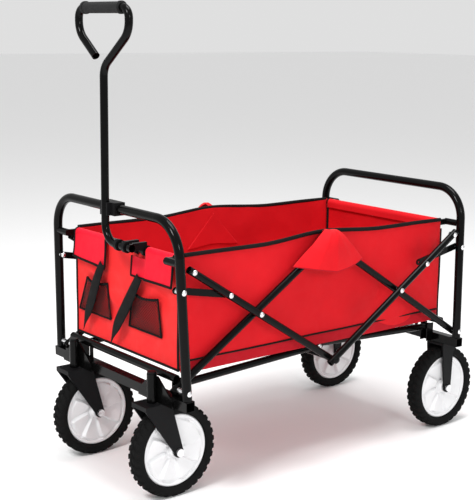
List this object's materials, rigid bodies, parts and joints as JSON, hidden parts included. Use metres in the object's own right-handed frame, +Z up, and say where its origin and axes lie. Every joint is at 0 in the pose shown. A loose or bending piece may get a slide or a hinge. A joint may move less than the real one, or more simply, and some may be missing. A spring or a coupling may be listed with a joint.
{
  "type": "folding camp wagon",
  "caption": "Folding camp wagon: scissor-jointed tubular frame, hung fabric basket, swivelling front wheels and a hinged pull handle for hauling camping gear",
  "frame": {"origin": "On the ground, under the middle of the open wagon's outline without counting the handle's height", "axes": "+Z up; -Y is the front, where the handle is; +X is the wagon's side that shows the handle's hinge end"},
  "size_m": [0.4978, 0.9356, 0.9675],
  "materials": {
    "black_paint": "glossy black powder coat on steel tube",
    "black_plastic": "matte black moulded plastic",
    "bright_steel": "bright zinc-plated rivets and axles",
    "tyre_rubber": "matte black tread",
    "wheel_plastic": "white moulded wheel disc",
    "grip_foam": "soft black foam sleeve",
    "red_fabric": "coated woven polyester, red",
    "black_mesh": "open black mesh with an elastic hem"
  },
  "bodies": {
    "rear_frame": {"rear_frame_tube": "black_paint", "rear_lower_bar": "black_paint", "rear_floor_rail": "black_paint", "rear_frame_pins": "bright_steel", "floor_brackets_rear": "black_paint", "rear_forks": "black_plastic", "rear_axles": "bright_steel", "rear_rim_rail": "black_paint", "panel_rear": "red_fabric", "panel_side_left": "red_fabric", "panel_side_right": "red_fabric"},
    "front_frame": {"front_frame_tube": "black_paint", "front_lower_bar": "black_paint", "front_floor_rail": "black_paint", "front_frame_pins": "bright_steel", "front_rim_rail": "black_paint", "panel_front": "red_fabric", "front_flap": "red_fabric", "mesh_pockets": "black_mesh", "handle_clip": "black_plastic", "handle_saddles": "black_plastic", "floor_brackets_front": "black_paint", "caster_sleeves": "black_paint"},
    "c_bars": {"bar_c_left": "black_paint", "bar_c_right": "black_paint", "rivets_c": "bright_steel"},
    "d_bars": {"bar_d_left": "black_paint", "bar_d_right": "black_paint", "rivets_d": "bright_steel", "centre_cross_tube": "black_paint"},
    "a_bars": {"bar_a_left": "black_paint", "bar_a_right": "black_paint", "rivets_a": "bright_steel"},
    "b_bars": {"bar_b_left": "black_paint", "bar_b_right": "black_paint"},
    "front_links": {"front_links": "black_paint"},
    "rear_links": {"rear_links": "black_paint"},
    "front_floor": {"floor_tubes_front": "black_paint", "floor_hinge_rivets": "bright_steel", "floor_pad_front": "red_fabric"},
    "rear_floor": {"floor_tubes_rear": "black_paint", "floor_pad_rear": "red_fabric"},
    "handle": {"handle_tube": "black_paint", "handle_grip": "grip_foam"},
    "caster_left": {"caster_fork_left": "black_plastic", "caster_axle_left": "bright_steel"},
    "caster_right": {"caster_fork_right": "black_plastic", "caster_axle_right": "bright_steel"},
    "wheel_front_left": {"tyre_front_left": "tyre_rubber", "disc_front_left": "wheel_plastic"},
    "wheel_front_right": {"tyre_front_right": "tyre_rubber", "disc_front_right": "wheel_plastic"},
    "wheel_rear_left": {"tyre_rear_left": "tyre_rubber", "disc_rear_left": "wheel_plastic"},
    "wheel_rear_right": {"tyre_rear_right": "tyre_rubber", "disc_rear_right": "wheel_plastic"}
  },
  "joints": [
    {"name": "fold", "type": "hinge", "parent": "rear_frame", "child": "c_bars", "pos_m": [0, 0.36477, 0.24], "axis": [-1, 0, 0], "range_deg": [0, 47.4], "deforming": ["panel_side_left", "panel_side_right"]},
    {"name": "rear_scissor", "type": "hinge", "parent": "c_bars", "child": "d_bars", "pos_m": [0, 0.17354, 0.3623], "axis": [-1, 0, 0], "range_deg": [-94.81, 0]},
    {"name": "bottom_centre", "type": "hinge", "parent": "d_bars", "child": "a_bars", "pos_m": [0, -0.0177, 0.24], "axis": [-1, 0, 0], "range_deg": [0, 94.81]},
    {"name": "front_scissor", "type": "hinge", "parent": "a_bars", "child": "b_bars", "pos_m": [0, -0.20894, 0.3623], "axis": [-1, 0, 0], "range_deg": [-94.81, 0]},
    {"name": "front_foot", "type": "hinge", "parent": "b_bars", "child": "front_frame", "pos_m": [0, -0.40017, 0.24], "axis": [-1, 0, 0], "range_deg": [0, 47.41]},
    {"name": "rear_link_turn", "type": "hinge", "parent": "rear_frame", "child": "rear_links", "pos_m": [0, 0.37159, 0.43516], "axis": [-1, 0, 0], "range_deg": [0, 86.68]},
    {"name": "front_link_turn", "type": "hinge", "parent": "front_frame", "child": "front_links", "pos_m": [0, -0.40699, 0.43516], "axis": [-1, 0, 0], "range_deg": [-86.68, 0]},
    {"name": "rear_floor_turn", "type": "hinge", "parent": "rear_frame", "child": "rear_floor", "pos_m": [0, 0.34177, 0.24], "axis": [-1, 0, 0], "range_deg": [0, 78.38], "deforming": ["floor_pad_rear"]},
    {"name": "front_floor_turn", "type": "hinge", "parent": "front_frame", "child": "front_floor", "pos_m": [0, -0.37717, 0.24], "axis": [-1, 0, 0], "range_deg": [-78.38, 0], "deforming": ["floor_pad_front"]},
    {"name": "handle_hinge", "type": "hinge", "parent": "front_frame", "child": "handle", "pos_m": [0, -0.42956, 0.5], "axis": [1, 0, 0], "range_deg": [0, 150]},
    {"name": "swivel_left", "type": "hinge", "parent": "front_frame", "child": "caster_left", "pos_m": [-0.147, -0.41977, 0.2], "axis": [0, 0, 1], "continuous": true},
    {"name": "swivel_right", "type": "hinge", "parent": "front_frame", "child": "caster_right", "pos_m": [0.147, -0.41977, 0.2], "axis": [0, 0, 1], "continuous": true},
    {"name": "roll_front_left", "type": "hinge", "parent": "caster_left", "child": "wheel_front_left", "pos_m": [-0.147, -0.37177, 0.096], "axis": [1, 0, 0], "continuous": true},
    {"name": "roll_front_right", "type": "hinge", "parent": "caster_right", "child": "wheel_front_right", "pos_m": [0.147, -0.37177, 0.096], "axis": [1, 0, 0], "continuous": true},
    {"name": "roll_rear_left", "type": "hinge", "parent": "rear_frame", "child": "wheel_rear_left", "pos_m": [-0.186, 0.37177, 0.096], "axis": [1, 0, 0], "continuous": true},
    {"name": "roll_rear_right", "type": "hinge", "parent": "rear_frame", "child": "wheel_rear_right", "pos_m": [0.186, 0.37177, 0.096], "axis": [1, 0, 0], "continuous": true}
  ],
  "couplings": [
    {"joint": "rear_scissor", "follows": "fold", "ratio": -2},
    {"joint": "bottom_centre", "follows": "fold", "ratio": 2},
    {"joint": "front_scissor", "follows": "fold", "ratio": -2},
    {"joint": "front_foot", "follows": "fold", "ratio": 1},
    {"joint": "rear_link_turn", "follows": "fold", "ratio": 1.8285},
    {"joint": "front_link_turn", "follows": "fold", "ratio": -1.8285},
    {"joint": "rear_floor_turn", "follows": "fold", "ratio": 1.6533},
    {"joint": "front_floor_turn", "follows": "fold", "ratio": -1.6533}
  ]
}
